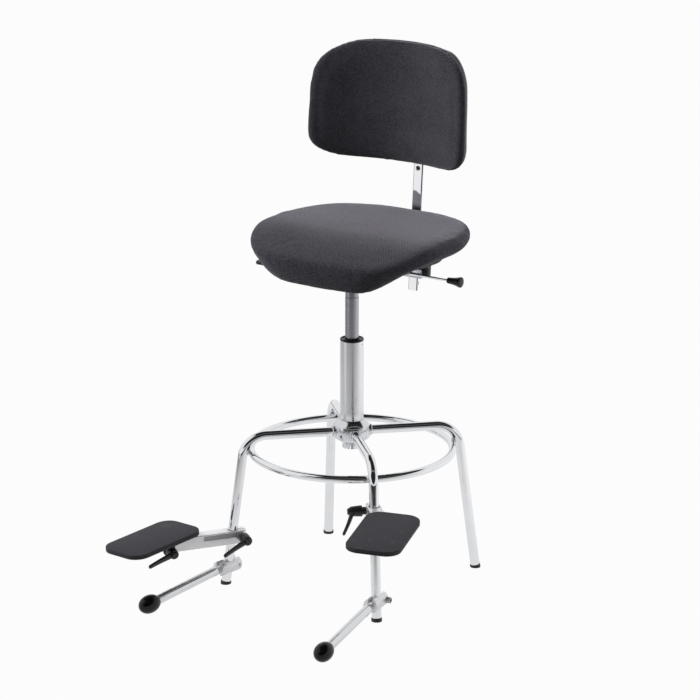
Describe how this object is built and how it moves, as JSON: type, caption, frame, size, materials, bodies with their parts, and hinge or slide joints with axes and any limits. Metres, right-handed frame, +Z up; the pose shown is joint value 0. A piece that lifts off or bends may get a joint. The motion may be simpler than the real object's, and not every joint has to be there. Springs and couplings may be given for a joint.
{
  "type": "double bass stool",
  "caption": "High adjustable stool with a swivelling cushioned seat, leaning backrest, splayed chromed legs with a foot ring, clamp-on foot plates and ball-ended stabiliser stays.",
  "frame": {"origin": "on the floor, under the middle of the stool's plan", "axes": "+Z up, -Y the way the sitter faces, +X towards the sitter's left"},
  "size_m": [0.6953, 0.7269, 1.1269],
  "materials": {
    "chrome": "bright chromed tube",
    "satin_steel": "ground steel, fine machining marks",
    "cast_alloy": "cast and chromed light alloy",
    "dark_steel": "dark grey powder coat",
    "zinc": "bright zinc plate",
    "black_plastic": "black moulded plastic",
    "rubber_mat": "smooth dark grey rubber sheet",
    "shell_grey": "light grey moulded shell",
    "plywood": "moulded plywood, stained black",
    "seat_cloth": "dark grey woven upholstery cloth",
    "back_cloth": "charcoal woven upholstery cloth"
  },
  "bodies": {
    "base": {"hub": "cast_alloy", "hub_nut": "satin_steel", "column_tube": "chrome", "column_bush": "black_plastic", "lift_rod": "satin_steel", "foot_ring": "chrome", "leg_front_right": "chrome", "leg_front_left": "chrome", "leg_back_left": "chrome", "leg_back_right": "chrome", "foot_cap_front_right": "black_plastic", "foot_cap_front_left": "black_plastic", "foot_cap_back_left": "black_plastic", "foot_cap_back_right": "black_plastic"},
    "lift": {"lift_cylinder": "satin_steel"},
    "valve_button": {"lift_button": "satin_steel"},
    "seat": {"seat_mount": "dark_steel", "seat_board": "plywood", "seat_cushion": "seat_cloth", "recline_pin": "satin_steel"},
    "paddle": {"lift_paddle_arm": "dark_steel", "lift_paddle_grip": "black_plastic"},
    "back_carrier": {"back_bracket": "dark_steel", "bar_guide": "zinc", "bar_lever_pin": "zinc"},
    "bar_lever": {"bar_lever_rod": "chrome", "bar_lever_knob": "black_plastic"},
    "bar": {"back_bar": "chrome", "bar_stop_bolt": "black_plastic", "back_pivot_pin": "satin_steel"},
    "backrest": {"back_hinge_block": "black_plastic", "back_shell": "shell_grey", "back_pad": "back_cloth"},
    "footrest_right_collar": {"footrest_right_sleeve": "black_plastic"},
    "footrest_right_support": {"footrest_right_arm": "cast_alloy"},
    "footrest_right_tread": {"footrest_right_plate": "dark_steel", "footrest_right_mat": "rubber_mat"},
    "footrest_right_inner_handle": {"footrest_right_clamp_lever": "black_plastic", "footrest_right_clamp_stud": "satin_steel"},
    "footrest_right_outer_handle": {"footrest_right_tilt_lever": "black_plastic", "footrest_right_tilt_stud": "satin_steel"},
    "stabiliser_right_joint": {"stabiliser_right_clamp": "cast_alloy", "stabiliser_right_screw": "satin_steel", "stabiliser_right_pin": "satin_steel"},
    "stabiliser_right_leg": {"stabiliser_right_stay": "chrome", "stabiliser_right_ball": "black_plastic"},
    "footrest_left_collar": {"footrest_left_sleeve": "black_plastic"},
    "footrest_left_support": {"footrest_left_arm": "cast_alloy"},
    "footrest_left_tread": {"footrest_left_plate": "dark_steel", "footrest_left_mat": "rubber_mat"},
    "footrest_left_inner_handle": {"footrest_left_clamp_lever": "black_plastic", "footrest_left_clamp_stud": "satin_steel"},
    "footrest_left_outer_handle": {"footrest_left_tilt_lever": "black_plastic", "footrest_left_tilt_stud": "satin_steel"},
    "stabiliser_left_joint": {"stabiliser_left_clamp": "cast_alloy", "stabiliser_left_screw": "satin_steel", "stabiliser_left_pin": "satin_steel"},
    "stabiliser_left_leg": {"stabiliser_left_stay": "chrome", "stabiliser_left_ball": "black_plastic"}
  },
  "joints": [
    {"name": "lift_slide", "type": "slide", "parent": "base", "child": "lift", "axis": [0, 0, 1], "range_m": [-0.085, 0.06]},
    {"name": "seat_swivel", "type": "hinge", "parent": "lift", "child": "seat", "pos_m": [-0.015, 0.0935, 0.672], "axis": [0, 0, 1], "continuous": true},
    {"name": "valve_press", "type": "slide", "parent": "lift", "child": "valve_button", "axis": [0, 0, 1], "range_m": [-0.0036, 0]},
    {"name": "paddle_pull", "type": "hinge", "parent": "seat", "child": "paddle", "pos_m": [-0.0455, 0.0935, 0.6745], "axis": [0, 1, 0], "range_deg": [0, 6], "stiffness_Nm_per_rad": 1.5, "springref_deg": -5.73},
    {"name": "back_recline", "type": "hinge", "parent": "seat", "child": "back_carrier", "pos_m": [-0.015, 0.2735, 0.669], "axis": [-1, 0, 0], "range_deg": [-2, 14]},
    {"name": "bar_release", "type": "hinge", "parent": "back_carrier", "child": "bar_lever", "pos_m": [-0.025, 0.3279, 0.616], "axis": [0, -0.9976, 0.0698], "range_deg": [0, 8]},
    {"name": "bar_height", "type": "slide", "parent": "back_carrier", "child": "bar", "axis": [0, 0.0698, 0.9976], "range_m": [-0.06, 0.012]},
    {"name": "back_tilt", "type": "hinge", "parent": "bar", "child": "backrest", "pos_m": [-0.015, 0.35531, 0.96494], "axis": [-1, 0, 0], "range_deg": [-8, 8]},
    {"name": "footrest_right_height", "type": "slide", "parent": "base", "child": "footrest_right_collar", "axis": [0.0951, 0.0951, 0.9909], "range_m": [-0.025, 0.14]},
    {"name": "footrest_right_swing", "type": "hinge", "parent": "footrest_right_collar", "child": "footrest_right_support", "pos_m": [-0.19723, -0.08873, 0.106], "axis": [0.0951, 0.0951, 0.9909], "range_deg": [-30, 30]},
    {"name": "footrest_right_tilt", "type": "hinge", "parent": "footrest_right_support", "child": "footrest_right_tread", "pos_m": [-0.27781, -0.21048, 0.1], "axis": [0.8339, -0.5519, 0], "range_deg": [-5, 20]},
    {"name": "footrest_right_inner_turn", "type": "hinge", "parent": "footrest_right_support", "child": "footrest_right_inner_handle", "pos_m": [-0.17507, -0.08061, 0.106], "axis": [0.8339, -0.5519, 0], "range_deg": [-110, 15]},
    {"name": "footrest_right_outer_turn", "type": "hinge", "parent": "footrest_right_tread", "child": "footrest_right_outer_handle", "pos_m": [-0.26255, -0.22058, 0.1], "axis": [0.8339, -0.5519, 0], "range_deg": [-20, 20]},
    {"name": "stabiliser_right_swing", "type": "hinge", "parent": "base", "child": "stabiliser_right_joint", "pos_m": [-0.20356, -0.09506, 0.04], "axis": [0.0951, 0.0951, 0.9909], "range_deg": [-30, 30]},
    {"name": "stabiliser_right_lift", "type": "hinge", "parent": "stabiliser_right_joint", "child": "stabiliser_right_leg", "pos_m": [-0.20662, -0.11736, 0.04], "axis": [-0.9907, 0.1357, 0], "range_deg": [-3, 10]},
    {"name": "footrest_left_height", "type": "slide", "parent": "base", "child": "footrest_left_collar", "axis": [-0.0951, 0.0951, 0.9909], "range_m": [-0.13, 0.03]},
    {"name": "footrest_left_swing", "type": "hinge", "parent": "footrest_left_collar", "child": "footrest_left_support", "pos_m": [0.15598, -0.07748, 0.2232], "axis": [-0.0951, 0.0951, 0.9909], "range_deg": [-30, 30]},
    {"name": "footrest_left_tilt", "type": "hinge", "parent": "footrest_left_support", "child": "footrest_left_tread", "pos_m": [0.25831, -0.18161, 0.2172], "axis": [0.7133, 0.7009, 0], "range_deg": [-5, 20]},
    {"name": "footrest_left_inner_turn", "type": "hinge", "parent": "footrest_left_support", "child": "footrest_left_inner_handle", "pos_m": [0.13268, -0.07374, 0.2232], "axis": [-0.7133, -0.7009, 0], "range_deg": [-60, 110]},
    {"name": "footrest_left_outer_turn", "type": "hinge", "parent": "footrest_left_tread", "child": "footrest_left_outer_handle", "pos_m": [0.24526, -0.19444, 0.2172], "axis": [-0.7133, -0.7009, 0], "range_deg": [-80, 9]},
    {"name": "stabiliser_left_swing", "type": "hinge", "parent": "base", "child": "stabiliser_left_joint", "pos_m": [0.17356, -0.09506, 0.04], "axis": [-0.0951, 0.0951, 0.9909], "range_deg": [-30, 30]},
    {"name": "stabiliser_left_lift", "type": "hinge", "parent": "stabiliser_left_joint", "child": "stabiliser_left_leg", "pos_m": [0.17693, -0.11731, 0.04], "axis": [-0.9888, -0.1495, 0], "range_deg": [-3, 10]}
  ],
  "couplings": [
    {"joint": "valve_press", "follows": "paddle_pull", "m_per_rad": -0.034}
  ]
}
